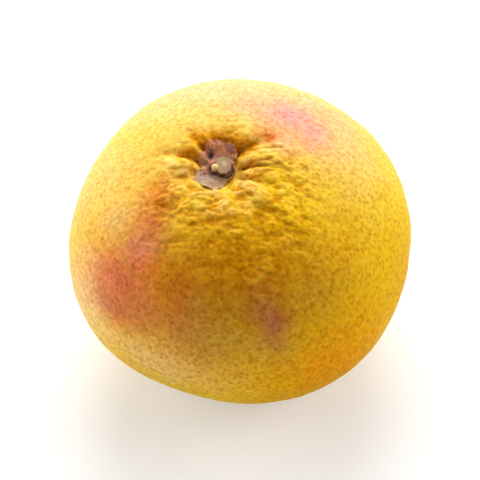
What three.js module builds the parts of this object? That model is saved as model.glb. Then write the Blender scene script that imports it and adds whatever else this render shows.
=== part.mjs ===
// A whole ripe grapefruit as picked, with the dried calyx and the cut stub of its stalk still in the stem end.
// It stands on the small flat spot at its blossom end, stem up. Millimetres, +Z up, and the origin is the middle
// of the flat spot. The fruit leans a little: its stem end lies off the middle of the fruit, towards -X.

import * as THREE from "three";

// The fruit's bulk.
const WIDTH = 112; // across the widest part
const CROWN_RISE = 43.6; // from the widest part up to the crown, before the stem pit sinks in
const BASE_DROP = 43.4; // from the widest part down to the blossom end, before the flat spot is pressed in
const SHOULDER = 0.078; // how square the shoulders are
const LEAN = 6; // how far the stem end lies off the middle...
const LEAN_AT = THREE.MathUtils.degToRad(185); // ...in this direction
const OVAL = 0.011; // the widest part is a little oval...
const OVAL_AT = THREE.MathUtils.degToRad(62); // ...longest along this direction
const EGG = 0.013; // and a little three-sided...
const EGG_AT = THREE.MathUtils.degToRad(71); // ...fullest on this side
const SQUARE = 0.015; // and a little four-sided...
const SQUARE_AT = THREE.MathUtils.degToRad(28); // ...with a corner on this side

// The stem end.
const PIT_DEPTH = 6;
const PIT_RADIUS = 9.2; // where the pit is half as deep
const PIT_STEEPNESS = 5.5;
const BASIN_DEPTH = 1.4; // the wide shallow dish round the pit
const BASIN_RADIUS = 19;

// Folds that run out from the pit: the direction in degrees, how far they reach, their half width, their depth
// (a ridge where it is below zero), how far they have bent to the left at their reach, and how far to the left of
// the stalk they pass.
const FOLDS = [
  { at: 16, reach: 15, width: 1.5, depth: 1.8, bend: 0, beside: 5.7 },
  { at: 84, reach: 14, width: 1.7, depth: 0.6, bend: 0, beside: 0 },
  { at: 96, reach: 13, width: 1.7, depth: -0.5, bend: 0, beside: 0 },
  { at: 108, reach: 14, width: 1.7, depth: 0.6, bend: 0, beside: 0 },
  { at: 120, reach: 14, width: 1.6, depth: -0.6, bend: 0, beside: 0 },
  { at: 132, reach: 18, width: 1.7, depth: 1.6, bend: 0, beside: 0 },
  { at: 145, reach: 15, width: 2.2, depth: -1.3, bend: 0, beside: 0 },
  { at: 157, reach: 20, width: 1.7, depth: 2.3, bend: 3.8, beside: 0 },
  { at: 178, reach: 17, width: 2.8, depth: -1.5, bend: 2, beside: 0 },
  { at: 203, reach: 15, width: 1.8, depth: 0.9, bend: -1, beside: 0 },
  { at: 239, reach: 14, width: 3.4, depth: -1.1, bend: 0, beside: 0 },
  { at: 258, reach: 14, width: 1.8, depth: 1.1, bend: 0, beside: 0 },
  { at: 272, reach: 14, width: 2, depth: -0.9, bend: 1, beside: 0 },
  { at: 287, reach: 16, width: 1.8, depth: 1.2, bend: 1, beside: 0 },
  { at: 305, reach: 25, width: 2.4, depth: -1.6, bend: 4, beside: 0 },
  { at: 324, reach: 19, width: 1.4, depth: 1.2, bend: 2, beside: 0 },
  { at: 340, reach: 15, width: 0.9, depth: 0.9, bend: 1.5, beside: 2.6 },
  { at: 340, reach: 17, width: 2.3, depth: -1.7, bend: 2.5, beside: 4.9 },
  { at: 348, reach: 18, width: 2, depth: -1, bend: -1, beside: 0 },
];
const FOLDS_START = 4; // inside this radius there are none...
const FOLDS_FULL = 7; // ...and from here on they are at their full depth

// The blossom end.
const FLAT_RADIUS = 11; // the spot the fruit rests on
const SCAR_RADIUS = 3.4; // the scar that the flower left, in the middle of the spot
const SCAR_DEPTH = 0.7;

// The calyx: a dried five-lobed star that lines the pit, with a cup round the stalk.
const GAP = 0.5; // between one piece and the next
const CALYX_RADIUS = 3.7; // between the lobes
const CALYX_LOBES = [
  { at: 72, reach: 9.3 },
  { at: 114, reach: 9.6 },
  { at: 153, reach: 8.3 },
  { at: 207, reach: 9.3 },
  { at: 245, reach: 10.5 },
];
const LOBE_WIDTH = THREE.MathUtils.degToRad(26);
const CALYX_THICKNESS = 1.1;
const CALYX_EDGE = 0.5; // thickness at the tips of the lobes
const RIM_RADIUS = 3.8; // the crest of the cup round the stalk
const RIM_WIDTH = 0.7;
const RIM_RISE = 0.6;

// The stub of the stalk.
const STUB_ACROSS = 2.6; // half its width along X
const STUB_ALONG = 3; // half its width along Y
const STUB_HEIGHT = 2;
const STUB_CUT_TILT = THREE.MathUtils.degToRad(12);
const STUB_BEVEL = 0.3;

const FRUIT_COLUMNS = 72;
const FRUIT_ROWS = 54;
const CALYX_COLUMNS = 72;
const STUB_COLUMNS = 20;

const peel = new THREE.MeshStandardMaterial({ color: 0xdca41c, roughness: 0.45, metalness: 0 });
const driedCalyx = new THREE.MeshStandardMaterial({ color: 0x9a7462, roughness: 0.85, metalness: 0 });
const cutStalk = new THREE.MeshStandardMaterial({ color: 0xc2a981, roughness: 0.8, metalness: 0 });

const gauss = (x) => Math.exp(-x * x);

// A closed lathed body about +Z whose vertices are then placed by shape(angle, radius, height). The last column
// repeats the first, so the seam closes exactly.
function moulded(profile, columns, shape) {
  const geometry = new THREE.LatheGeometry(profile, columns);
  const position = geometry.getAttribute("position");
  for (let column = 0; column <= columns; column += 1) {
    const angle = ((column % columns) * 2 * Math.PI) / columns;
    profile.forEach(({ x: radius, y: height }, row) => {
      const { x, y, z } = shape(angle, radius, height);
      position.setXYZ(column * profile.length + row, x, y, z);
    });
  }
  geometry.computeVertexNormals();
  return geometry;
}

// Height of the bulk over its widest part, at an angle from the stem end: a cosine with squared-up shoulders.
function bulkHeight(fromStem) {
  const halfHeight = fromStem < Math.PI / 2 ? CROWN_RISE : BASE_DROP;
  return halfHeight * Math.cos(fromStem) * (1 + SHOULDER * Math.sin(fromStem) ** 2);
}

const flatAngle = Math.PI - Math.asin(FLAT_RADIUS / (WIDTH / 2));
const equatorHeight = -bulkHeight(flatAngle);

// How deep the skin is folded at a place round the stem end: each fold is a bell across its own line, which grows
// from the calyx outwards and dies away at its reach.
function foldDepth(angle, radius) {
  let depth = 0;
  for (const fold of FOLDS) {
    const turn = angle - THREE.MathUtils.degToRad(fold.at);
    const along = radius * Math.cos(turn);
    const across = radius * Math.sin(turn) - fold.bend * (along / fold.reach) ** 2 - fold.beside;
    const ending = gauss((along / fold.reach) ** 2) * THREE.MathUtils.smoothstep(along, 0, 6);
    depth += fold.depth * gauss(across / fold.width) * ending;
  }
  return depth * THREE.MathUtils.smoothstep(radius, FOLDS_START, FOLDS_FULL);
}

// How far the skin lies under the plain bulk round the stem end: pit, basin and folds together.
function stemSink(angle, radius) {
  const pit = PIT_DEPTH / (1 + (radius / PIT_RADIUS) ** PIT_STEEPNESS);
  const basin = BASIN_DEPTH * gauss(radius / BASIN_RADIUS);
  return pit + basin + foldDepth(angle, radius);
}

// A point of the skin. radius and height are the plain round bulk's, and the height is over the widest part.
function skinPoint(angle, radius, height) {
  const oval = OVAL * Math.cos(2 * (angle - OVAL_AT));
  const egg = EGG * Math.cos(3 * (angle - EGG_AT));
  const square = SQUARE * Math.cos(4 * (angle - SQUARE_AT));
  const outline = 1 + oval + egg + square;
  const upper = Math.max(0, height / CROWN_RISE);
  const sink = height > 0 ? stemSink(angle, radius) : 0;
  return new THREE.Vector3(
    radius * outline * Math.cos(angle) + LEAN * Math.cos(LEAN_AT) * upper * upper,
    radius * outline * Math.sin(angle) + LEAN * Math.sin(LEAN_AT) * upper * upper,
    height + equatorHeight - sink,
  );
}

// The same, for a point over the stem end given only by its radius.
function stemEndPoint(angle, radius) {
  const fromStem = Math.asin(radius / (WIDTH / 2));
  return skinPoint(angle, radius, bulkHeight(fromStem));
}

// The fruit: rows from the blossom scar, over the flat spot and round to the stem end, closer together at the stem.
function fruitGeometry() {
  const profile = [
    new THREE.Vector2(0, SCAR_DEPTH - equatorHeight),
    new THREE.Vector2(SCAR_RADIUS * 0.7, SCAR_DEPTH - equatorHeight),
    new THREE.Vector2(SCAR_RADIUS, -equatorHeight),
    new THREE.Vector2(FLAT_RADIUS, -equatorHeight),
  ];
  for (let row = FRUIT_ROWS; row >= 1; row -= 1) {
    const fromStem = Math.PI * (row / FRUIT_ROWS) ** 1.6;
    if (fromStem > flatAngle - 0.04) continue;
    profile.push(new THREE.Vector2((WIDTH / 2) * Math.sin(fromStem), bulkHeight(fromStem)));
  }
  profile.push(new THREE.Vector2(0, CROWN_RISE));
  return moulded(profile, FRUIT_COLUMNS, skinPoint);
}

// Thickness of the calyx: it thins towards the tips and rises in a rim round the stalk, with a cup inside it.
function calyxThickness(radius, share) {
  const plate = THREE.MathUtils.lerp(CALYX_THICKNESS, CALYX_EDGE, share * share);
  return plate + RIM_RISE * gauss((radius - RIM_RADIUS) / RIM_WIDTH);
}

// How far the calyx reaches in a direction.
function calyxReach(angle) {
  let reach = CALYX_RADIUS;
  for (const lobe of CALYX_LOBES) {
    const turn = angle - THREE.MathUtils.degToRad(lobe.at);
    const nearestTurn = Math.atan2(Math.sin(turn), Math.cos(turn));
    reach += (lobe.reach - CALYX_RADIUS) * gauss(nearestTurn / LOBE_WIDTH);
  }
  return reach;
}

// The calyx lies on the skin. Its profile runs from the middle of the underside out to the edge, and back over the
// top; x is the share of the way to the edge, and y is 0 underneath and 1 on top.
function calyxGeometry() {
  const shares = [0.2, 0.4, 0.52, 0.6, 0.68, 0.76, 0.84, 0.92, 1];
  const underside = shares.map((share) => new THREE.Vector2(share, 0));
  const top = shares.map((share) => new THREE.Vector2(share, 1)).reverse();
  const profile = [new THREE.Vector2(0, 0), ...underside, ...top, new THREE.Vector2(0, 1)];
  return moulded(profile, CALYX_COLUMNS, (angle, share, side) => {
    const radius = share * calyxReach(angle);
    const point = stemEndPoint(angle, radius);
    point.z += GAP + side * calyxThickness(radius, share);
    return point;
  });
}

// The stub stands in the calyx's cup. It is a little oval, its cut end is tilted and its edge is bevelled. In its
// profile x is the share of its half width.
function stubGeometry() {
  const floor = stemEndPoint(0, 0);
  floor.z += 2 * GAP + CALYX_THICKNESS;
  const bevelShare = 1 - STUB_BEVEL / STUB_ALONG;
  const profile = [
    new THREE.Vector2(0, 0),
    new THREE.Vector2(0.93, 0),
    new THREE.Vector2(0.97, STUB_HEIGHT * 0.5),
    new THREE.Vector2(1, STUB_HEIGHT - STUB_BEVEL),
    new THREE.Vector2(bevelShare, STUB_HEIGHT),
    new THREE.Vector2(0, STUB_HEIGHT),
  ];
  return moulded(profile, STUB_COLUMNS, (angle, share, height) => {
    const x = STUB_ACROSS * share * Math.cos(angle);
    const y = STUB_ALONG * share * Math.sin(angle);
    const tilt = (height / STUB_HEIGHT) * y * Math.tan(STUB_CUT_TILT);
    return new THREE.Vector3(x, y, height + tilt).add(floor);
  });
}

function piece(name, geometry, material) {
  const mesh = new THREE.Mesh(geometry, material);
  mesh.name = name;
  return mesh;
}

const grapefruit = new THREE.Group();
grapefruit.add(piece("fruit", fruitGeometry(), peel));
grapefruit.add(piece("calyx", calyxGeometry(), driedCalyx));
grapefruit.add(piece("stem_stub", stubGeometry(), cutStalk));

// The origin lies under the middle of the fruit, which its uneven sides put a little off the stalk's line.
const middle = new THREE.Box3().setFromObject(grapefruit, true).getCenter(new THREE.Vector3());
grapefruit.position.set(-middle.x, -middle.y, 0);

export default grapefruit;
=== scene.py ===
import math

import bpy
import numpy as np
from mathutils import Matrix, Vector


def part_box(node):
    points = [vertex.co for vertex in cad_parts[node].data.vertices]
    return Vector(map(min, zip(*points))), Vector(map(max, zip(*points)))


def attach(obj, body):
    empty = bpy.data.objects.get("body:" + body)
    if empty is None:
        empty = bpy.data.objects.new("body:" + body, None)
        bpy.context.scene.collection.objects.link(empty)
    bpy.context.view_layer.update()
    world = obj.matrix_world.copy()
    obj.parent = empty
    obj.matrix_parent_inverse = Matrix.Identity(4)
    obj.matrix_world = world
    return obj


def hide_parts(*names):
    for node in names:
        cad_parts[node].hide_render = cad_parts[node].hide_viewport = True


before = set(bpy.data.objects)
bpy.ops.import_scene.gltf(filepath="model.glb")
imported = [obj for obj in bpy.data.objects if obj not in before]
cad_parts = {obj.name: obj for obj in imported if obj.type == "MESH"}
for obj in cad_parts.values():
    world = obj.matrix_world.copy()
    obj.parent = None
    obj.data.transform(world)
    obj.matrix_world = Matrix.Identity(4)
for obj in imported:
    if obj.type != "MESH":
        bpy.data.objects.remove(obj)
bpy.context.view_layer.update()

# ---------------------------------------------------------------------------------------------------------
# The fruit: a whole grapefruit, grown as one piece. It is a flattened ball, a little lopsided, whose peel is
# drawn in folds into the pit where it hung from its stalk. Below the pit the peel is coarsely pebbled, and
# elsewhere it is finely pored.

MM = 0.001

# The bulk, in millimetres: its width, how far its ends lie above and below its widest part, how square its
# shoulders are, and how far its crown leans over and to which side.
WIDTH = 112.0
CROWN_RISE = 43.6
BASE_DROP = 43.4
SHOULDER = 0.078
LEAN, LEAN_AT = 6.0, math.radians(185)

# Seen from above it isn't round, but a little oval, three-sided and four-sided: each as a share of the
# radius, and with the direction of a bulge.
OVAL, OVAL_AT = 0.011, math.radians(62)
EGG, EGG_AT = 0.013, math.radians(71)
SQUARE, SQUARE_AT = 0.015, math.radians(28)

# The pit with its wide basin at the stem end, and the flat spot with the flower's scar at the other.
PIT_DEPTH, PIT_RADIUS, PIT_STEEPNESS = 6.0, 9.2, 5.5
BASIN_DEPTH, BASIN_RADIUS = 1.4, 19.0
FLAT_RADIUS, PRESSED_EDGE = 11.0, 0.15
SCAR_RADIUS, SCAR_BED_RADIUS, SCAR_DEPTH = 3.4, 1.87, 0.7
NUB_RADIUS, NUB_HEIGHT = 0.9, 0.35

# Folds that run out from the pit: direction in degrees, reach, half width, depth (below zero for a ridge),
# how far they have bent to the left at their reach, and how far to the left of the stalk they pass.
FOLDS = [
    (16, 15, 1.5, 1.8, 0, 5.7),
    (84, 14, 1.7, 0.6, 0, 0),
    (96, 13, 1.7, -0.5, 0, 0),
    (108, 14, 1.7, 0.6, 0, 0),
    (120, 14, 1.6, -0.6, 0, 0),
    (132, 18, 1.7, 1.6, 0, 0),
    (145, 15, 2.2, -1.3, 0, 0),
    (157, 20, 1.7, 2.3, 3.8, 0),
    (178, 17, 2.8, -1.5, 2, 0),
    (203, 15, 1.8, 0.9, -1, 0),
    (239, 14, 3.4, -1.1, 0, 0),
    (258, 14, 1.8, 1.1, 0, 0),
    (272, 14, 2.0, -0.9, 1, 0),
    (287, 16, 1.8, 1.2, 1, 0),
    (305, 25, 2.4, -1.6, 4, 0),
    (324, 19, 1.4, 1.2, 2, 0),
    (340, 15, 0.9, 0.9, 1.5, 2.6),
    (340, 17, 2.3, -1.7, 2.5, 4.9),
    (348, 18, 2.0, -1.0, -1, 0),
]
# They start at one distance from the stem end, have their full depth at another, and fade in along them.
FOLDS_START, FOLDS_FULL, FOLD_FADE_IN = 4.0, 7.0, 6.0

FRUIT_COLUMNS, FRUIT_ROWS = 420, 234
CROWDED_AT, CROWDING = math.radians(-85), 0.4
EVEN_SHARE = 0.62


def bell(x):
    """A bell: the exponential of minus x squared."""
    return np.exp(-x * x)


def ease(low, high, x):
    """0 up to low, 1 from high on, and a smooth S between them."""
    t = np.clip((x - low) / (high - low), 0, 1)
    return t * t * (3 - 2 * t)


def bulk_height(from_stem):
    """Height over the widest part: a cosine of the angle from the stem end, with squared-up shoulders."""
    half = np.where(from_stem < math.pi / 2, CROWN_RISE, BASE_DROP)
    return half * np.cos(from_stem) * (1 + SHOULDER * np.sin(from_stem) ** 2)


def fold_depth(angle, radius):
    """The sum of the folds: each is a bell across its own bent line, which dies away at its reach."""
    depth = np.zeros(np.broadcast(angle, radius).shape)
    for at, reach, width, deep, bend, beside in FOLDS:
        turn = angle - math.radians(at)
        along = radius * np.cos(turn)
        across = radius * np.sin(turn) - bend * (along / reach) ** 2 - beside
        depth += deep * bell(across / width) * bell((along / reach) ** 2) * ease(0, FOLD_FADE_IN, along)
    return depth * ease(FOLDS_START, FOLDS_FULL, radius)


def skin(angle, from_stem):
    """The plain skin, in millimetres over the flat spot: the bulk's circle made a little oval, three-sided
    and four-sided, leant over towards the stem end, with the pit, the basin round it and the folds taken off
    its height."""
    radius = WIDTH / 2 * np.sin(from_stem)
    height = bulk_height(from_stem)
    outline = 1 + OVAL * np.cos(2 * (angle - OVAL_AT)) + EGG * np.cos(3 * (angle - EGG_AT))
    outline += SQUARE * np.cos(4 * (angle - SQUARE_AT))
    upper = np.maximum(0, height / CROWN_RISE)
    pit = PIT_DEPTH / (1 + (radius / PIT_RADIUS) ** PIT_STEEPNESS)
    basin = BASIN_DEPTH * bell(radius / BASIN_RADIUS)
    sink = np.where(height > 0, pit + basin + fold_depth(angle, radius), 0)
    x = radius * outline * np.cos(angle) + LEAN * math.cos(LEAN_AT) * upper**2
    y = radius * outline * np.sin(angle) + LEAN * math.sin(LEAN_AT) * upper**2
    return np.stack([x, y, height + equator_height - sink], axis=-1)


# Large odd numbers that scatter a whole number's bits: one for each direction of space, one for the seed,
# and two that stir the sum.
SCATTER_X, SCATTER_Y, SCATTER_Z = np.uint32(374761393), np.uint32(668265263), np.uint32(2147483647)
SCATTER_SEED = 144665
STIR_FIRST, STIR_SECOND = np.uint32(1274126177), np.uint32(2246822519)


def lattice(cells, seed):
    """A repeatable random number from 0 to 1 for each whole-numbered cell of space."""
    x, y, z = (cells[..., k].astype(np.int64).astype(np.uint32) for k in range(3))
    h = x * SCATTER_X + y * SCATTER_Y + z * SCATTER_Z + np.uint32(seed * SCATTER_SEED)
    h = (h ^ (h >> np.uint32(13))) * STIR_FIRST
    h = (h ^ (h >> np.uint32(16))) * STIR_SECOND
    return (h ^ (h >> np.uint32(15))).astype(np.float64) / 2**32


def cloud(points, size, seed):
    """Smooth noise from -1 to 1: random values on a lattice of that size, eased from corner to corner."""
    scaled = points / size
    base = np.floor(scaled)
    t = scaled - base
    t = t * t * t * (t * (6 * t - 15) + 10)
    total = np.zeros(points.shape[:-1])
    for dx in (0, 1):
        for dy in (0, 1):
            for dz in (0, 1):
                corner = np.array([dx, dy, dz])
                weight = np.prod(np.where(corner, t, 1 - t), axis=-1)
                total += weight * lattice(base + corner, seed)
    return 2 * total - 1


def swell(points):
    """The broad unevenness of the skin, in millimetres: two clouds, a wide one and a smaller, weaker one."""
    return 0.35 * cloud(points, 17, seed=41) + 0.12 * cloud(points, 6, seed=42)


def grid_normals(points):
    """Outward unit normals of rings of points: the direction along each ring crossed with the one up the
    rings, over its length."""
    along = np.roll(points, -1, axis=1) - np.roll(points, 1, axis=1)
    up = np.gradient(points, axis=0)
    normal = np.cross(along, up)
    return normal / np.maximum(np.linalg.norm(normal, axis=-1, keepdims=True), 1e-9)


def closed_surface(name, rings, material, **masks):
    """A smooth closed mesh from rings of points in millimetres, the lowest first. Each ring runs
    anticlockwise and closes on itself, quads join it to the next, and a fan round a middle point closes each
    end. The masks are values at its points, which its material reads by their names."""
    rows, columns = rings.shape[:2]
    vertices = np.vstack([rings.reshape(-1, 3), rings[0].mean(0), rings[-1].mean(0)]) * MM
    here = np.arange(columns)
    after = (here + 1) % columns
    starts = (np.arange(rows - 1) * columns)[:, None]
    next_starts = starts + columns
    quads = np.stack([starts + here, starts + after, next_starts + after, next_starts + here], axis=-1)
    last = (rows - 1) * columns
    low_fan = np.stack([np.full(columns, rows * columns), after, here], axis=-1)
    high_fan = np.stack([np.full(columns, rows * columns + 1), last + here, last + after], axis=-1)
    faces = quads.reshape(-1, 4).tolist() + low_fan.tolist() + high_fan.tolist()
    mesh = bpy.data.meshes.new(name)
    mesh.from_pydata(vertices.tolist(), [], faces)
    mesh.shade_smooth()
    for title, values in masks.items():
        layer = mesh.attributes.new(title, "FLOAT", "POINT")
        flat = np.concatenate([values.ravel(), [values[0].mean(), values[-1].mean()]])
        layer.data.foreach_set("value", flat.astype(np.float32))
    mesh.materials.append(material)
    piece = bpy.data.objects.new(name, mesh)
    bpy.context.scene.collection.objects.link(piece)
    return piece


flat_from_stem = math.pi - math.asin(FLAT_RADIUS / (WIDTH / 2))
equator_height = -float(bulk_height(np.array(flat_from_stem)))

# The grid: its rows are closest round the stem end, and its columns on the crumpled front.
share_down = np.linspace(1, 0, FRUIT_ROWS + 2)[1:-1, None]
fruit_from_stem = math.pi * (EVEN_SHARE * share_down + (1 - EVEN_SHARE) * share_down**3)
even_angle = np.linspace(0, 2 * math.pi, FRUIT_COLUMNS, endpoint=False)[None, :]
fruit_angle = even_angle - CROWDING * np.sin(even_angle - CROWDED_AT)
fruit_radius = WIDTH / 2 * np.sin(fruit_from_stem) + 0 * fruit_angle
fruit_rings = skin(fruit_angle, fruit_from_stem)

# The whole fruit is moved sideways as the solid is, so that the middle of its box is over the origin.
low, high = (np.array(corner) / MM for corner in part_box("fruit"))
box_middle = (low + high) / 2
ring_middle = (fruit_rings.min((0, 1)) + fruit_rings.max((0, 1))) / 2
shift = np.array([box_middle[0] - ring_middle[0], box_middle[1] - ring_middle[1], 0])
fruit_rings += shift
stem_end = skin(np.array(0.0), np.array(0.0)) + shift

# The flat spot: what would reach below the surface it rests on is pressed flat, with the flower's scar in it.
height = fruit_rings[..., 2]
fruit_rings[..., 2] = (height + np.sqrt(height**2 + PRESSED_EDGE**2)) / 2
blossom_side = fruit_from_stem > math.pi / 2
scar_rise = SCAR_DEPTH * (1 - ease(SCAR_BED_RADIUS, SCAR_RADIUS, fruit_radius))
scar_rise -= NUB_HEIGHT * bell(fruit_radius / NUB_RADIUS)
fruit_rings[..., 2] += np.where(blossom_side, scar_rise, 0)

# Where each point of the skin lies from the stem end: how far, in which direction, and on which half.
from_stem_end = np.linalg.norm(fruit_rings - stem_end, axis=-1)
heading = np.degrees(np.arctan2(fruit_rings[..., 1] - stem_end[1], fruit_rings[..., 0] - stem_end[0]))
above = fruit_from_stem < math.pi / 2


def facing(direction, width):
    """How nearly each point lies in a direction from the stem end: a bell over the angle between them, as
    wide as that. Both are in degrees, 0 to the right and -90 to the front."""
    return bell(((heading - direction + 180) % 360 - 180) / width)


# Round the stem end and down the front the peel is crumpled: soft lumps close to the pit, and short wandering
# ridges, drawn out across the front, that shrink and fade out lower down and over the sides. Both start at a
# distance from the stem end and are full at another. They have a reach at the back and a longer one in front.
RIDGES_START, RIDGES_FULL, RIDGES_REACH, RIDGES_FARTHER = 5, 9, 18, 46
LUMPS_START, LUMPS_FULL, LUMPS_REACH, LUMPS_FARTHER = 8, 12, 14, 18
RIDGE_SIZE, RIDGE_HEIGHT, RIDGE_WANDER = 1.5, 0.30, 0.8
LUMP_SIZE, LUMP_HEIGHT, WANDER_SIZE = 2.6, 0.32, 4.0
DRAWN_OUT = np.array([0.5, 1.0, 1.0])

# The broad unevenness of the whole skin is at its full from this height, and fades out down to the flat spot.
UNEVEN_HEIGHT = 14.0

front = facing(-75, 95)
pebbled = 1 - ease(0.25, 1.1, from_stem_end / (RIDGES_REACH + RIDGES_FARTHER * front))
pebbled *= ease(RIDGES_START, RIDGES_FULL, from_stem_end) * above
lumpy = 1 - ease(0.35, 1.0, from_stem_end / (LUMPS_REACH + LUMPS_FARTHER * front))
lumpy *= ease(LUMPS_START, LUMPS_FULL, from_stem_end) * above
wander = np.stack([cloud(fruit_rings, WANDER_SIZE, seed) for seed in (11, 12, 13)], axis=-1)
drawn_out = (fruit_rings + RIDGE_WANDER * wander) * DRAWN_OUT
ridges = 1.3 * cloud(drawn_out, RIDGE_SIZE, seed=21) + 0.7 * cloud(drawn_out * 1.9 + 40, RIDGE_SIZE, seed=22)
lumps = cloud(fruit_rings + wander, LUMP_SIZE, seed=23)
relief = RIDGE_HEIGHT * ridges * pebbled + LUMP_HEIGHT * lumps * lumpy
unevenness = swell(fruit_rings) * ease(0, UNEVEN_HEIGHT, fruit_rings[..., 2]) * (1 - 0.5 * pebbled)
fruit_normals = grid_normals(fruit_rings)
fruit_rings += fruit_normals * (relief + unevenness)[..., None]

# Painted shade in the creases: a fold's bed lies deeper than the skin to either side of it
# and is painted dark, and so are the hollows between the ridges and between the lumps.
# This painted shade is darkest in the pit's far wall and to its right, fades out over the
# pit's rim, and is faint close to the calyx in front.
FOLD_ASIDE, FULL_CREASE = 2.2, 1.4
BEDS_FADE, BEDS_END = 8, 17
NEAR_CALYX, OFF_CALYX = 5, 9
aside = FOLD_ASIDE / np.maximum(fruit_radius, FOLD_ASIDE)
own_depth = fold_depth(fruit_angle, fruit_radius)
left_depth, right_depth = (fold_depth(fruit_angle + turn, fruit_radius) for turn in (aside, -aside))
side_depth = (left_depth + right_depth) / 2
wall_side = facing(105, 85)
right_side = facing(5, 30)
folded = np.clip((own_depth - side_depth) / FULL_CREASE, 0, 1) * above
folded *= 1 - ease(BEDS_FADE, BEDS_END, fruit_radius + 2 * lumps)
folded *= 0.35 + 0.65 * np.maximum(wall_side, right_side)
folded *= 1 - 0.7 * facing(-42, 28) * (1 - ease(NEAR_CALYX, OFF_CALYX, fruit_radius))
between_ridges, between_lumps = ease(0.2, -0.9, ridges), ease(0.1, -0.6, lumps)
creased = np.clip(folded + pebbled * between_ridges + 0.3 * lumpy * between_lumps, 0, 1)

# Painted highlights: a paler yellow on the ridges' crests, which also get a coat with a real shine,
# and on the lumps and ridges close round the calyx in front.
CREAM_START, CREAM_FULL, CREAM_FADE, CREAM_END = 4, 7, 9, 25
crested = pebbled * ease(0.0, 0.9, ridges)
creamy = np.maximum(ease(-0.2, 0.8, 0.5 * ridges + lumps), ease(0.2, 1.0, -own_depth))
creamy *= 1 - ease(CREAM_FADE, CREAM_END, from_stem_end)
creamy *= ease(CREAM_START, CREAM_FULL, from_stem_end) * front * above

# Painted shade in the pit's far wall and its sides, a deep gold, and a painted shadow of the calyx,
# brown, low in that wall.
WALL_START, WALL_FULL, WALL_REACH = 4.5, 7.0, 14.0
STAIN_RADIUS, STAIN_WIDTH = 10.4, 0.9
rim_reach = WALL_REACH + 1.6 * own_depth - 0.8 * lumps + 2.2 * facing(128, 20)
walled = ease(WALL_START, WALL_FULL, from_stem_end) * above
walled *= 1 - ease(-2.2, 1.6, from_stem_end - rim_reach)
walled *= np.clip(1.8 * wall_side, 0, 1) * (1 - ease(0.2, 1.2, -own_depth))
# Painted shadow of the calyx on the peel.
stained = bell((fruit_radius - STAIN_RADIUS) / STAIN_WIDTH) * facing(98, 38) * above

# Dark specks over the large oil glands, on the lower half and in the front.
SPECKS_START, SPECKS_FULL = math.radians(25), math.radians(60)
specked = ease(SPECKS_START, SPECKS_FULL, fruit_from_stem + 0.3 * cloud(fruit_rings, 12, seed=45))
specked *= 0.55 + 0.45 * facing(-95, 80)

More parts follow.
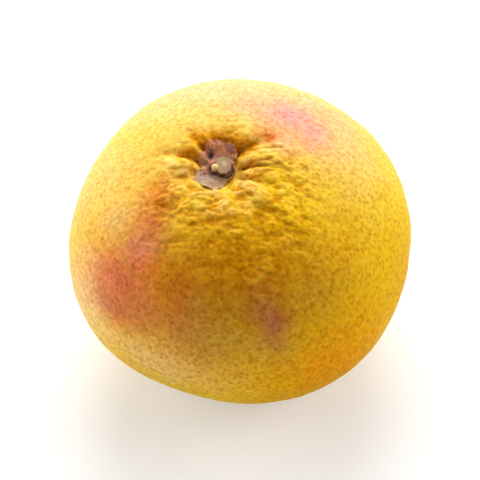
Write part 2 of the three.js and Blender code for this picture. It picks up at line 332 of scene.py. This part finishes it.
# Blotches in the peel's colour. Each kind has how far its edges are frayed, in millimetres, the seed of its
# noise, and its places. A place has the direction of its middle and its angle from the stem end in degrees,
# its half sizes across and down the skin in millimetres, its tilt in degrees, and its strength.
BLOTCHES = {
    # Where the sun caught it: a band of coral down the left, with brick red spots in its lower end and one by
    # itself in front, and pink behind the pit and along the band. Burnt orange lies in its crumpled parts,
    # and its narrow place at 10 degrees, in a fold's bed to the right of the calyx, is painted shade.
    "coral": (2.0, 50, [
        (-158, 21, 4, 5, 0, 0.45),
        (-149, 27, 5, 7, 0, 0.6),
        (-141, 35, 6.5, 8, 0, 0.75),
        (-134, 47, 8.5, 9, 0, 0.95),
        (-137, 60, 13, 11, 0, 1.0),
        (-134, 72, 10, 7, 0, 0.7),
        (-114, 60, 7, 12, 0, 0.3),
    ]),
    "brick": (1.5, 75, [
        (-78, 61, 5, 8, 8, 1.0),
        (-79, 54, 5, 7, 0, 0.4),
        (-110, 68, 9, 12, 0, 0.45),
        (-103, 78, 8, 7, 0, 0.25),
        (-136, 62, 11, 7, 0, 0.5),
        (-137, 72, 10, 6, 0, 0.7),
        (-128, 70, 12, 9, 0, 0.55),
    ]),
    "pink": (1.5, 60, [
        (46, 32, 13, 11, 0, 0.9),
        (31, 33, 9, 9, 0, 0.85),
        (30, 22, 8, 6, 0, 0.6),
        (42, 46, 14, 9, 0, 0.4),
        (64, 29, 12, 8, 0, 0.55),
        (86, 40, 40, 14, 0, 0.2),
        (-137, 42, 6, 9, 0, 0.4),
        (-147, 66, 14, 13, 0, 0.25),
        # Partly a blush, partly a painted whitish sheen on the left.
        (-178, 38, 24, 20, 0, 0.14),
    ]),
    "ember": (1.2, 65, [
        (39, 19, 3.6, 2.2, 0, 1.0),
        # Painted shade along a fold's bed to the right of the calyx.
        (10, 8, 1.0, 3.5, 0, 0.8),
        (-152, 24, 4, 3, 0, 0.5),
        (-116, 50, 7, 7, 0, 0.45),
        (-136, 34, 3, 4, 0, 0.5),
        (-144, 26, 2.6, 2.2, 0, 0.9),
    ]),
    # Painted highlights on single lumps close to the pit, and painted shade in the hollows between them.
    "cream": (0.8, 110, [
        (40, 11, 2.5, 1.5, 0, 0.9),
        (26, 14, 3, 2, 0, 0.9),
        (17, 19, 4, 2.5, 0, 0.8),
        (-26, 6, 1.8, 1.2, 0, 0.8),
        (-50, 10, 2.5, 1.8, 0, 0.9),
        (-46, 15, 2.5, 1.8, 0, 0.8),
        (-166, 13, 2.5, 2.5, 0, 0.9),
        (180, 19, 3.5, 2.5, 0, 0.7),
        (-107, 13, 3, 2, 0, 0.8),
    ]),
    "hollow": (0.5, 120, [
        (10, 5, 1.6, 1.1, 0, 0.45),
        (-138, 26, 2.4, 2.0, 0, 0.3),
    ]),
    # The ground colour's changes: gold and duller gold down the front, and a trace of green that hasn't
    # turned. The pale yellow is painted sheen round the top and sides, and painted light thrown up low on
    # the left.
    "golden": (3.0, 80, [
        (-90, 45, 31, 20, 0, 1.0),
        (-45, 52, 18, 14, 0, 0.5),
        (-92, 82, 34, 16, 0, 0.35),
        (-58, 92, 28, 22, 0, 1.0),
        (-20, 90, 24, 18, 0, 0.5),
        (95, 105, 40, 25, 0, 0.6),
    ]),
    "dusky": (3.0, 90, [
        (-92, 55, 19, 12, 0, 1.0),
        (-75, 52, 18, 12, 0, 0.7),
        (-92, 37, 16, 7, 0, 0.45),
        (-104, 25, 7, 4, 0, 0.8),
        (-82, 23, 7, 4, 0, 0.65),
        (-112, 59, 10, 8, 0, 0.95),
        (-58, 38, 8, 6, 0, 0.55),
        (-76, 46, 8, 5, 0, 0.5),
    ]),
    # Painted sheen round the top and sides, and painted light thrown up low on the left.
    "pale": (3.0, 100, [
        (90, 42, 60, 26, 0, 1.0),
        (170, 66, 30, 34, 0, 0.6),
        (26, 42, 21, 19, 0, 0.75),
        (-120, 90, 22, 11, 0, 0.8),
        (-133, 82, 13, 7, 0, 0.5),
        (-154, 42, 9, 9, 0, 0.6),
        (-152, 84, 20, 16, 0, 1.0),
    ]),
    "green": (3.0, 70, [
        (-99, 68, 16, 10, 0, 0.9),
        (-84, 71, 12, 9, 0, 0.7),
        (-60, 56, 14, 10, 0, 0.4),
        (120, 95, 25, 22, 0, 0.6),
    ]),
}
BLOTCH_DEPTH = 30


def blotch(frayed, seed, places):
    """The mask of one kind of blotch: the strongest of its places at each point. A place is a bell over the
    distance from its middle, across and down the skin, and a wide one over the depth below it, so that it
    stays on its own side. Smooth noise of two sizes moves the points and so frays its edge."""
    mask = np.zeros(fruit_rings.shape[:2])
    fray = np.stack([cloud(fruit_rings, 7, seed + k) for k in range(3)], axis=-1)
    fray += 0.5 * np.stack([cloud(fruit_rings, 2.5, seed + 5 + k) for k in range(3)], axis=-1)
    for at, down, half_across, half_down, tilt, strength in places:
        column = int(np.argmin(np.abs(np.angle(np.exp(1j * (fruit_angle[0] - math.radians(at)))))))
        row = int(np.argmin(np.abs(fruit_from_stem[:, 0] - math.radians(down))))
        normal = fruit_normals[row, column]
        across = np.array([-math.sin(math.radians(at)), math.cos(math.radians(at)), 0])
        upward = np.cross(normal, across)
        offset = fruit_rings - fruit_rings[row, column] + frayed * fray
        u, v = offset @ across, offset @ upward
        c, s = math.cos(math.radians(tilt)), math.sin(math.radians(tilt))
        far = ((u * c + v * s) / half_across) ** 2 + ((v * c - u * s) / half_down) ** 2
        depth = (offset @ normal / BLOTCH_DEPTH) ** 2
        mask = np.maximum(mask, strength * np.exp(-far - depth))
    return mask


peel_masks = {kind: blotch(*facts) for kind, facts in BLOTCHES.items()}
peel_masks["creamy"] = np.maximum(creamy, peel_masks.pop("cream"))
peel_masks["folded"] = np.maximum(folded, peel_masks.pop("hollow"))
peel_masks.update(specked=specked, crested=crested, walled=walled, creased=creased, stained=stained)


def linear(colour):
    """The linear colour of a six-digit hex one."""
    values = np.array([int(colour[k : k + 2], 16) for k in (0, 2, 4)]) / 255
    return (*np.where(values > 0.04045, ((values + 0.055) / 1.055) ** 2.4, values / 12.92), 1.0)


def new_material(name):
    """An empty node material and its parts: material, nodes, links and Principled shader."""
    material = bpy.data.materials.new(name)
    material.use_nodes = True
    tree = material.node_tree
    return material, tree.nodes, tree.links, tree.nodes["Principled BSDF"]


def mask(nodes, title):
    """The socket of a mask that the mesh carries under that name."""
    attribute = nodes.new("ShaderNodeAttribute")
    attribute.attribute_name = title
    return attribute.outputs["Fac"]


def tint(nodes, links, base, colour, amount, blend="MIX"):
    """Mixes a colour over base by an amount. Each of the three is a socket or a plain value. Gives the mixed
    colour's socket."""
    mix = nodes.new("ShaderNodeMix")
    mix.data_type = "RGBA"
    mix.blend_type = blend
    for socket, value in ((mix.inputs[6], base), (mix.inputs[7], colour), (mix.inputs[0], amount)):
        if isinstance(value, bpy.types.NodeSocket):
            links.new(value, socket)
        else:
            socket.default_value = value
    return mix.outputs[2]


def remap(nodes, links, value, low, high, to_low=0.0, to_high=1.0):
    """Spreads low to high over to_low to to_high, clamped, with a smooth step."""
    spread = nodes.new("ShaderNodeMapRange")
    spread.interpolation_type = "SMOOTHSTEP"
    links.new(value, spread.inputs["Value"])
    spread.inputs["From Min"].default_value = low
    spread.inputs["From Max"].default_value = high
    spread.inputs["To Min"].default_value = to_low
    spread.inputs["To Max"].default_value = to_high
    return spread.outputs["Result"]


def product(nodes, links, value, factor):
    """A value's socket times a factor, which is a socket or a number."""
    times = nodes.new("ShaderNodeMath")
    times.operation = "MULTIPLY"
    links.new(value, times.inputs[0])
    if isinstance(factor, bpy.types.NodeSocket):
        links.new(factor, times.inputs[1])
    else:
        times.inputs[1].default_value = factor
    return times.outputs[0]


def spots(nodes, links, per_metre):
    """Points strewn evenly through space, so many to a metre: the distance to the nearest, as a socket."""
    place = nodes.new("ShaderNodeTexCoord")
    strewn = nodes.new("ShaderNodeTexVoronoi")
    strewn.inputs["Scale"].default_value = per_metre
    links.new(place.outputs["Object"], strewn.inputs["Vector"])
    return strewn.outputs["Distance"]


def bumps(nodes, links, height, strength, deep, under=None, inward=False):
    """A bump after a height's socket, so deep in metres, over another bump's normal where there is one. Gives
    its normal's socket."""
    bump = nodes.new("ShaderNodeBump")
    bump.invert = inward
    bump.inputs["Strength"].default_value = strength
    bump.inputs["Distance"].default_value = deep
    links.new(height, bump.inputs["Height"])
    if under is not None:
        links.new(under, bump.inputs["Normal"])
    return bump.outputs["Normal"]


def speckle_group():
    """A node group: small noise at a given size, as a value round 0.5 and with its contrast set."""
    group = bpy.data.node_groups.new("fine_speckle", "ShaderNodeTree")
    for title, start in (("Grain per metre", 800.0), ("Contrast", 1.0)):
        socket = group.interface.new_socket(title, in_out="INPUT", socket_type="NodeSocketFloat")
        socket.default_value = start
    group.interface.new_socket("Value", in_out="OUTPUT", socket_type="NodeSocketFloat")
    nodes, links = group.nodes, group.links
    source = nodes.new("NodeGroupInput")
    result = nodes.new("NodeGroupOutput")
    place = nodes.new("ShaderNodeTexCoord")
    noise = nodes.new("ShaderNodeTexNoise")
    noise.inputs["Detail"].default_value = 3.0
    noise.inputs["Roughness"].default_value = 0.6
    links.new(place.outputs["Object"], noise.inputs["Vector"])
    links.new(source.outputs["Grain per metre"], noise.inputs["Scale"])
    centre = nodes.new("ShaderNodeMath")
    centre.operation = "SUBTRACT"
    links.new(noise.outputs["Fac"], centre.inputs[0])
    centre.inputs[1].default_value = 0.5
    spread = nodes.new("ShaderNodeMath")
    spread.operation = "MULTIPLY_ADD"
    links.new(centre.outputs[0], spread.inputs[0])
    links.new(source.outputs["Contrast"], spread.inputs[1])
    spread.inputs[2].default_value = 0.5
    spread.use_clamp = True
    links.new(spread.outputs[0], result.inputs["Value"])
    return group


fine_speckle = speckle_group()


def speckle(nodes, links, grain, contrast):
    """Places the speckle group with its own grain and contrast, and gives its value."""
    group = nodes.new("ShaderNodeGroup")
    group.node_tree = fine_speckle
    group.inputs["Grain per metre"].default_value = grain
    group.inputs["Contrast"].default_value = contrast
    return group.outputs["Value"]


# The ground colour's two yellows, and what is laid over them, in this order: mask, colour and most strength.
PEEL_YELLOWS = "f4d016", "efc40a"
PEEL_TINTS = [
    # The pale is painted sheen round the top and sides, and painted light low on the left.
    ("pale", "f4d494", 1.0),
    ("golden", "eca000", 1.0),
    ("dusky", "c87c00", 0.75),
    ("green", "d4a838", 1.0),
    ("coral", "fa8440", 1.0),
    ("pink", "f99ea6", 1.0),
    ("brick", "c06a52", 0.9),
    # From here on the tints are painted light, all but the ember: painted highlights on crests and lumps, and
    # painted shade in the pit's wall, the creases and fold beds, and as the calyx's shadow. Of the ember,
    # only its place in a fold to the right of the calyx is painted shade.
    ("crested", "f8d018", 0.4),
    ("creamy", "fcd890", 0.65),
    ("walled", "eea616", 1.0),
    ("ember", "d46a08", 1.0),
    ("creased", "c48000", 0.7),
    ("folded", "6e3600", 0.8),
    ("stained", "8c3c0c", 0.7),
]
# How many to a metre: the clouds between the two yellows, the oil glands' pores, the fine mottling, the dark
# specks and their patches, the roughness of the skin and the changes in its shine.
CLOUDS_PER_METRE, PORES_PER_METRE, MOTTLE_PER_METRE = 28.0, 620.0, 700.0
SPECKS_PER_METRE, PATCHES_PER_METRE = 500.0, 260.0
GRAIN_PER_METRE, SHINE_PER_METRE = 1500.0, 900.0
DIMPLE_DEPTH, GRAIN_DEPTH = 0.0003, 0.0003


def peel_material():
    """Waxy citrus peel: yellow clouded with paler yellow, gold and green, and coral and pink where the sun
    caught it. Painted shade makes it deeper in its creases, its fold beds and the pit's wall, and painted
    highlights and sheen make it paler on its crests and lumps and round the top. A dimple lies over every
    oil gland, darkened by painted shade, and a shine on its ridges' crests."""
    material, nodes, links, shader = new_material("grapefruit_peel")
    clouds = speckle(nodes, links, CLOUDS_PER_METRE, 1.6)
    colour = tint(nodes, links, *(linear(yellow) for yellow in PEEL_YELLOWS), clouds)
    for title, hue, most in PEEL_TINTS:
        colour = tint(nodes, links, colour, linear(hue), product(nodes, links, mask(nodes, title), most))

    pore = remap(nodes, links, spots(nodes, links, PORES_PER_METRE), 0.1, 0.65, 1.0, 0.0)
    mottle = speckle(nodes, links, MOTTLE_PER_METRE, 1.3)
    dulled = remap(nodes, links, mottle, 0.15, 0.75, 0.75, 0.0)
    # Painted glints: the mottle's brighter specks are lifted to a pale yellow.
    brightened = remap(nodes, links, mottle, 0.45, 0.9, 0.0, 0.13)
    patchy = remap(nodes, links, speckle(nodes, links, PATCHES_PER_METRE, 2.5), 0.2, 0.8, 0.05, 0.48)
    speck = remap(nodes, links, spots(nodes, links, SPECKS_PER_METRE), 0.05, 0.55, 1.0, 0.0)
    speck = product(nodes, links, product(nodes, links, speck, patchy), mask(nodes, "specked"))
    colour = tint(nodes, links, colour, linear("f0d88c"), dulled, "MULTIPLY")
    colour = tint(nodes, links, colour, linear("ffe878"), brightened)
    # Painted shade: each pore's dimple is darkened in colour as well as by its bump.
    colour = tint(nodes, links, colour, linear("bc8c28"), product(nodes, links, pore, 0.34), "MULTIPLY")
    colour = tint(nodes, links, colour, linear("b08030"), speck, "MULTIPLY")
    links.new(colour, shader.inputs["Base Color"])

    dimpled = bumps(nodes, links, pore, strength=0.35, deep=DIMPLE_DEPTH, inward=True)
    grain = speckle(nodes, links, GRAIN_PER_METRE, 1.0)
    grained = bumps(nodes, links, grain, strength=0.4, deep=GRAIN_DEPTH, under=dimpled)
    links.new(grained, shader.inputs["Normal"])

    shine = speckle(nodes, links, SHINE_PER_METRE, 1.8)
    links.new(remap(nodes, links, shine, 0.3, 0.8, 0.42, 0.52), shader.inputs["Roughness"])
    links.new(remap(nodes, links, mask(nodes, "crested"), 0.1, 0.9, 0.0, 0.25), shader.inputs["Coat Weight"])
    shader.inputs["Coat Roughness"].default_value = 0.3
    shader.inputs["Specular IOR Level"].default_value = 0.02
    shader.inputs["Subsurface Weight"].default_value = 0.25
    shader.inputs["Subsurface Radius"].default_value = (1.0, 0.5, 0.1)
    shader.inputs["Subsurface Scale"].default_value = 0.002
    return material


fruit = closed_surface("fruit_skin", fruit_rings, peel_material(), **peel_masks)
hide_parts("fruit")
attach(fruit, "root")

# ---------------------------------------------------------------------------------------------------------
# The calyx: the five-lobed cup that held the flower, dried on the tree. Its papery lobes line the pit, with a
# thick brown rim round the stalk. It is still grown to the fruit under the stalk.

GAP = 0.5
CALYX_RADIUS = 3.7
CALYX_LOBES = [(72, 9.3), (114, 9.6), (153, 8.3), (207, 9.3), (245, 10.5)]
LOBE_WIDTH = math.radians(26)
CALYX_THICKNESS, CALYX_EDGE = 1.1, 0.5
RIM_RADIUS, RIM_WIDTH, RIM_RISE = 3.8, 0.7, 0.6
VEIN_RISE, CRINKLE_RISE, CRINKLE_FINE = 0.05, 0.3, 0.12
HOLE_AT, HOLE_AWAY, HOLE_DEPTH = math.radians(125), 7.2, 0.5
CALYX_COLUMNS, CALYX_UNDER_ROWS, CALYX_TOP_ROWS = 300, 12, 80
CALYX_PATCHES_PER_METRE, CALYX_STAINS_PER_METRE, CALYX_FIBRES_PER_METRE = 420.0, 1300.0, 2500.0
FIBRE_DEPTH = 0.0002


def calyx_reach(angle):
    """How far the calyx reaches: its radius between the lobes, and a bell more at each lobe."""
    reach = np.full(angle.shape, CALYX_RADIUS)
    for at, lobe in CALYX_LOBES:
        turn = angle - math.radians(at)
        nearest_turn = np.arctan2(np.sin(turn), np.cos(turn))
        reach += (lobe - CALYX_RADIUS) * bell(nearest_turn / LOBE_WIDTH)
    return reach


def calyx_hole(angle, radius):
    """The hole's mask: a bell round its middle, longer across than outwards."""
    along = radius * np.cos(angle - HOLE_AT) - HOLE_AWAY
    across = radius * np.sin(angle - HOLE_AT)
    return bell(np.hypot(along / 1.1, across / 1.6))


def calyx_surface(angle, share, side):
    """A point of the calyx, on its underside (side 0) or its top (side 1), at a share of its reach: the skin
    under it, raised by the gap and by the calyx's thickness, which thins towards the tips, swells in a rim
    round the stalk, wrinkles along its veins and is pitted by one small hole."""
    ragged = 0.02 * np.sin(7 * angle + 1) + 0.015 * np.sin(19 * angle) + 0.012 * np.sin(31 * angle + 2)
    radius = share * calyx_reach(angle) * (1 + ragged * share)
    point = skin(angle, np.arcsin(radius / (WIDTH / 2))) + shift
    plate = CALYX_THICKNESS + (CALYX_EDGE - CALYX_THICKNESS) * share**2 - 0.2 * ease(0.8, 1, share)
    rim = RIM_RISE * bell((radius - RIM_RADIUS) / RIM_WIDTH)
    rim *= 1 + 0.25 * np.sin(5 * angle + 0.5) + 0.15 * np.sin(11 * angle)
    veins = VEIN_RISE * np.sin(34 * angle + 3 * np.sin(3 * angle)) * ease(0.45, 0.8, share)
    crinkle = CRINKLE_RISE * cloud(point, 2.2, seed=81) + CRINKLE_FINE * cloud(point, 0.8, seed=82)
    top = plate + rim + veins + crinkle * ease(0.3, 0.6, share) - HOLE_DEPTH * calyx_hole(angle, radius)
    point[..., 2] += swell(point) + GAP * (1 - 0.7 * ease(0.6, 1, share)) + side * top
    return point


# The grid runs out along the underside and back over the top.
underside = np.linspace(0.03, 1, CALYX_UNDER_ROWS)[:, None]
topside = np.linspace(1, 0.01, CALYX_TOP_ROWS)[:, None]
calyx_angle = np.linspace(0, 2 * math.pi, CALYX_COLUMNS, endpoint=False)[None, :]
calyx_shares = np.vstack([underside, topside]) + 0 * calyx_angle
calyx_sides = np.vstack([underside * 0, topside * 0 + 1]) + 0 * calyx_angle
calyx_angles = calyx_angle + 0 * calyx_shares
calyx_radii = calyx_shares * calyx_reach(calyx_angles)
calyx_rings = calyx_surface(calyx_angles, calyx_shares, calyx_sides)


def lobe_patch(at, wide, away, deep):
    """A patch of the calyx's top: a bell over the angle from a direction, and one over the distance out."""
    return bell((calyx_angles - math.radians(at)) / wide) * bell((calyx_radii - away) / deep)


# The near lobes are grey, with cream tips, and tan towards the right. The left one's end is light. A
# painted shadow runs round the foot of the stalk, wider on its left. The rim's shade on the far lobes
# behind it and on the left one beside it is painted too.
near_lobes = ease(1.5, 4.5, -calyx_radii * np.sin(calyx_angles + math.radians(18)))
cream_tip = ease(0.75, 1.0, calyx_shares + 0.1 * np.sin(13 * calyx_angles)) * near_lobes
tanned = near_lobes * ease(math.radians(225), math.radians(270), calyx_angles)
left_arm = bell((calyx_angles - math.radians(158)) / 0.25) * ease(0.6, 0.85, calyx_shares)
left_of_stub = bell((calyx_angles - math.pi) / math.radians(40))
groove = bell((calyx_radii - 3.0 - 1.4 * left_of_stub) / (0.6 + 0.6 * left_of_stub))
shaded = np.minimum(1.5 * lobe_patch(70, 0.6, 5.4, 1.2), 1) + lobe_patch(159, 0.18, 6.3, 1.5)


def calyx_material():
    """Dried calyx: cinnamon mottled with mauve on the far lobes, grey and papery on the near ones with a
    cream tip, and stained all over. A painted dark brown shadow runs round the foot of the stalk,
    painted shade lies behind the rim, and the hole is painted near black as the shade in it."""
    material, nodes, links, shader = new_material("dried_calyx")
    patches = speckle(nodes, links, CALYX_PATCHES_PER_METRE, 2.6)
    colour = tint(nodes, links, linear("dc8e58"), linear("bc7a68"), remap(nodes, links, patches, 0.35, 0.7))
    colour = tint(nodes, links, colour, linear("a08068"), mask(nodes, "near_lobes"))
    colour = tint(nodes, links, colour, linear("a88660"), mask(nodes, "tanned"))
    colour = tint(nodes, links, colour, linear("b8946c"), mask(nodes, "cream_tip"))
    colour = tint(nodes, links, colour, linear("dca860"), mask(nodes, "left_arm"))
    stains = speckle(nodes, links, CALYX_STAINS_PER_METRE, 2.6)
    colour = tint(nodes, links, colour, linear("6a4030"), remap(nodes, links, stains, 0.6, 0.85, 0.0, 0.55))
    colour = tint(nodes, links, colour, linear("5a3a1c"), product(nodes, links, mask(nodes, "shaded"), 0.75))
    # Painted shadow round the foot of the stalk.
    colour = tint(nodes, links, colour, linear("462814"), mask(nodes, "groove"))
    # Painted shade: the hole is near black.
    colour = tint(nodes, links, colour, linear("2c1626"), mask(nodes, "hole"))
    links.new(colour, shader.inputs["Base Color"])
    fibres = speckle(nodes, links, CALYX_FIBRES_PER_METRE, 1.5)
    links.new(bumps(nodes, links, fibres, strength=0.6, deep=FIBRE_DEPTH), shader.inputs["Normal"])
    shader.inputs["Roughness"].default_value = 0.8
    return material


calyx = closed_surface(
    "calyx_dried",
    calyx_rings,
    calyx_material(),
    near_lobes=near_lobes,
    cream_tip=cream_tip,
    groove=groove,
    shaded=shaded,
    tanned=tanned,
    left_arm=left_arm,
    hole=calyx_hole(calyx_angles, calyx_radii) * calyx_sides,
)
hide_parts("calyx")
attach(calyx, "root")

# ---------------------------------------------------------------------------------------------------------
# The stalk's stub: what is left of the woody stalk where the picker's clippers cut it, a little aslant. It
# stands in the middle of the calyx, which it is grown to.

STUB_ACROSS, STUB_ALONG, STUB_HEIGHT = 2.6, 3.0, 2.0
STUB_CUT_TILT = math.radians(12)
STUB_COLUMNS = 120
# Where the painted highlight on the cut lies, and its size, in millimetres.
PITH_X, PITH_Y, PITH_RADIUS = 0.4, 0.7, 1.3
WOOD_PER_METRE = 2000.0
# It starts this far above the fruit's stem end: on the calyx, with a gap under each of the two.
CALYX_TOP = 2 * GAP + CALYX_THICKNESS

# Its profile, from the foot to the middle of the cut: shares of its half width and of its height.
stub_profile = np.array(
    [(0.3, 0), (0.9, 0), (0.93, 0.03), (0.95, 0.25), (0.97, 0.5), (0.99, 0.75), (1.0, 0.88), (0.96, 0.95)]
    + [(share, 1.0) for share in (0.88, 0.8, 0.7, 0.6, 0.5, 0.4, 0.3, 0.2, 0.1)]
)
stub_angle = np.linspace(0, 2 * math.pi, STUB_COLUMNS, endpoint=False)[None, :]
stub_share = stub_profile[:, :1] + 0 * stub_angle
stub_rise = stub_profile[:, 1:] + 0 * stub_angle
ribs = 1 + 0.03 * np.sin(9 * stub_angle) + 0.02 * np.sin(23 * stub_angle + 1)
stub_spread = stub_share * (1 + (ribs - 1) * stub_share)
stub_x = STUB_ACROSS * stub_spread * np.cos(stub_angle)
stub_y = STUB_ALONG * stub_spread * np.sin(stub_angle)
stub_z = STUB_HEIGHT * stub_rise + stub_rise * stub_y * math.tan(STUB_CUT_TILT)
stub_rings = np.stack([stub_x, stub_y, stub_z], axis=-1)
from_pith = np.hypot(stub_x - PITH_X, stub_y - PITH_Y)
pith = ease(0.35, 0.7, bell(from_pith / PITH_RADIUS) + 0.35 * cloud(stub_rings, 0.5, seed=95))
stub_rings += stem_end + np.array([0, 0, CALYX_TOP])


def stub_material():
    """Cut stalk: tan wood, greener on the left of the cut, and darker and pinker on the right, partly its
    own colour and partly painted shade, with a ragged pale patch that is a painted highlight, and brown
    bark down its side."""
    material, nodes, links, shader = new_material("cut_stalk")
    place = nodes.new("ShaderNodeTexCoord")
    axes = nodes.new("ShaderNodeSeparateXYZ")
    links.new(place.outputs["Object"], axes.inputs[0])
    middle = float(stem_end[0]) * MM
    right = remap(nodes, links, axes.outputs["X"], middle - MM, middle + MM)
    grain = speckle(nodes, links, WOOD_PER_METRE, 2.0)
    # The right half is darker and pinker: partly its own colour, partly painted shade on that side.
    colour = tint(nodes, links, linear("ac9268"), linear("a88464"), right)
    # Painted highlight: a ragged pale patch on the cut.
    colour = tint(nodes, links, colour, linear("ecc8a0"), product(nodes, links, mask(nodes, "pith"), 0.5))
    colour = tint(nodes, links, linear("5a3820"), colour, remap(nodes, links, mask(nodes, "rise"), 0.8, 0.97))
    colour = tint(nodes, links, colour, linear("8a6a48"), remap(nodes, links, grain, 0.5, 0.9, 0.0, 0.5))
    links.new(colour, shader.inputs["Base Color"])
    links.new(bumps(nodes, links, grain, strength=0.5, deep=FIBRE_DEPTH), shader.inputs["Normal"])
    shader.inputs["Roughness"].default_value = 0.75
    return material


stub = closed_surface("stalk_stub", stub_rings, stub_material(), rise=stub_rise, pith=pith)
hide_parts("stem_stub")
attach(stub, "root")

# ---------------------------------------------------------------------------------------------------------
# The splinter: a crumb of bright inner wood, torn loose on the stub's left when it was cut, and caught
# between it and the calyx's rim.

SPLINTER_HALF = np.array([1.3, 1.3, 1.25])
SPLINTER_PLACE = np.array([-2.5, -0.3, CALYX_TOP + 1.1])
SPLINTER_LUMPS = 0.12
SPLINTER_GRAIN_PER_METRE = 1800.0

# A ball squeezed to those half sizes, with smooth noise pushing its skin in and out.
splinter_up = np.linspace(-0.49, 0.49, 30)[:, None] * math.pi
splinter_turn = stub_angle + 0 * splinter_up
splinter_ball = np.stack(
    [
        np.cos(splinter_up) * np.cos(splinter_turn),
        np.cos(splinter_up) * np.sin(splinter_turn),
        np.sin(splinter_up) + 0 * splinter_turn,
    ],
    axis=-1,
)
splinter_rings = SPLINTER_HALF * splinter_ball
splinter_rings += SPLINTER_LUMPS * cloud(splinter_rings, 0.7, seed=91)[..., None] * splinter_ball
splinter_rings += stem_end + SPLINTER_PLACE


def splinter_material():
    """Fresh-looking inner wood, peach yellow and fibrous."""
    material, nodes, links, shader = new_material("inner_wood")
    grain = speckle(nodes, links, SPLINTER_GRAIN_PER_METRE, 2.0)
    links.new(tint(nodes, links, linear("ffd68e"), linear("f2b870"), grain), shader.inputs["Base Color"])
    shader.inputs["Roughness"].default_value = 0.6
    return material


splinter = closed_surface("stalk_splinter", splinter_rings, splinter_material())
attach(splinter, "root")

# ---------------------------------------------------------------------------------------------------------
# The studio: a white floor without an edge, broad soft lamps behind and beside the fruit, and a long lens
# that looks down on its front.

WHITE = (1.0, 1.0, 1.0, 1.0)
FLOOR_SIZE, FLOOR_GLOW = 8, 0.3


def floor_material():
    """White where the camera sees it, by a glow that lights nothing, but darkened by the fruit's shadow."""
    material, nodes, links, shader = new_material("studio_floor")
    shader.inputs["Base Color"].default_value = (0.8, 0.8, 0.8, 1.0)
    shader.inputs["Roughness"].default_value = 0.9
    shader.inputs["Emission Color"].default_value = WHITE
    light_path = nodes.new("ShaderNodeLightPath")
    glow = product(nodes, links, light_path.outputs["Is Camera Ray"], FLOOR_GLOW)
    links.new(glow, shader.inputs["Emission Strength"])
    return material


bpy.ops.mesh.primitive_plane_add(size=FLOOR_SIZE, location=(0, 0, 0))
floor = bpy.context.object
floor.name = "studio_floor"
floor.data.materials.append(floor_material())

# Each soft lamp's size in metres, power in watts, azimuth from the camera's side and elevation in degrees,
# and distance from the fruit's middle in metres.
SOFT_LAMPS = {
    "back_softbox": (0.8, 12.4, 180, 36, 1.1),
    "left_softbox": (0.8, 7.8, -98, 16, 1.0),
    "right_softbox": (0.6, 5.0, 95, 25, 1.0),
}
fruit_middle = np.array([0.0, 0.0, box_middle[2] * MM])


def new_lamp(name, kind, power):
    """A lamp of a kind, with its power, put in the scene: its object and its data."""
    data = bpy.data.lights.new(name, kind)
    data.energy = power
    piece = bpy.data.objects.new(name, data)
    bpy.context.scene.collection.objects.link(piece)
    return piece, data


def soft_lamp(name, size, power, azimuth, elevation, distance):
    """A square soft lamp that faces the fruit's middle from that side."""
    piece, data = new_lamp(name, "AREA", power)
    data.size = size
    a, e = math.radians(azimuth), math.radians(elevation)
    outwards = np.array([math.sin(a) * math.cos(e), -math.cos(a) * math.cos(e), math.sin(e)])
    piece.location = fruit_middle + distance * outwards
    piece.rotation_mode = "QUATERNION"
    piece.rotation_quaternion = Vector(-outwards).to_track_quat("-Z", "Y")


for name, facts in SOFT_LAMPS.items():
    soft_lamp(name, *facts)

# A narrow lamp over the floor in front, outside the picture. Its light comes back up from the floor on the
# fruit's underside.
bounce, bounce_data = new_lamp("floor_lamp", "SPOT", 68.0)
bounce_data.spot_size = math.radians(22)
bounce_data.spot_blend = 0.6
bounce_data.shadow_soft_size = 0.05
bounce.location = (0, -0.25, 0.6)

# The room's own light: bright behind the fruit and dim on the camera's side, and white where it is seen.
ROOM_DIM, ROOM_BRIGHT = 0.2, 0.7

world = bpy.data.worlds.new("studio")
bpy.context.scene.world = world
world.use_nodes = True
room, room_links = world.node_tree.nodes, world.node_tree.links
direction = room.new("ShaderNodeTexCoord")
room_axes = room.new("ShaderNodeSeparateXYZ")
room_links.new(direction.outputs["Generated"], room_axes.inputs[0])
fade = remap(room, room_links, room_axes.outputs["Y"], -0.3, 0.7, ROOM_DIM, ROOM_BRIGHT)
room["Background"].inputs["Color"].default_value = WHITE
room_path = room.new("ShaderNodeLightPath")
seen = room.new("ShaderNodeMath")
seen.operation = "MAXIMUM"
room_links.new(fade, seen.inputs[0])
room_links.new(room_path.outputs["Is Camera Ray"], seen.inputs[1])
room_links.new(seen.outputs[0], room["Background"].inputs["Strength"])

CAMERA_ELEVATION = math.radians(52.8)
CAMERA_DISTANCE = 1.3
CAMERA_LENS, CAMERA_REACH = 300, 20

camera_data = bpy.data.cameras.new("camera")
camera_data.lens = CAMERA_LENS
camera_data.clip_end = CAMERA_REACH
camera = bpy.data.objects.new("camera", camera_data)
bpy.context.scene.collection.objects.link(camera)
back = np.array([0, -math.cos(CAMERA_ELEVATION), math.sin(CAMERA_ELEVATION)])
camera.location = fruit_middle + CAMERA_DISTANCE * back
camera.rotation_euler = (math.pi / 2 - CAMERA_ELEVATION, 0, 0)
bpy.context.scene.camera = camera

bpy.context.scene.view_settings.view_transform = "Standard"
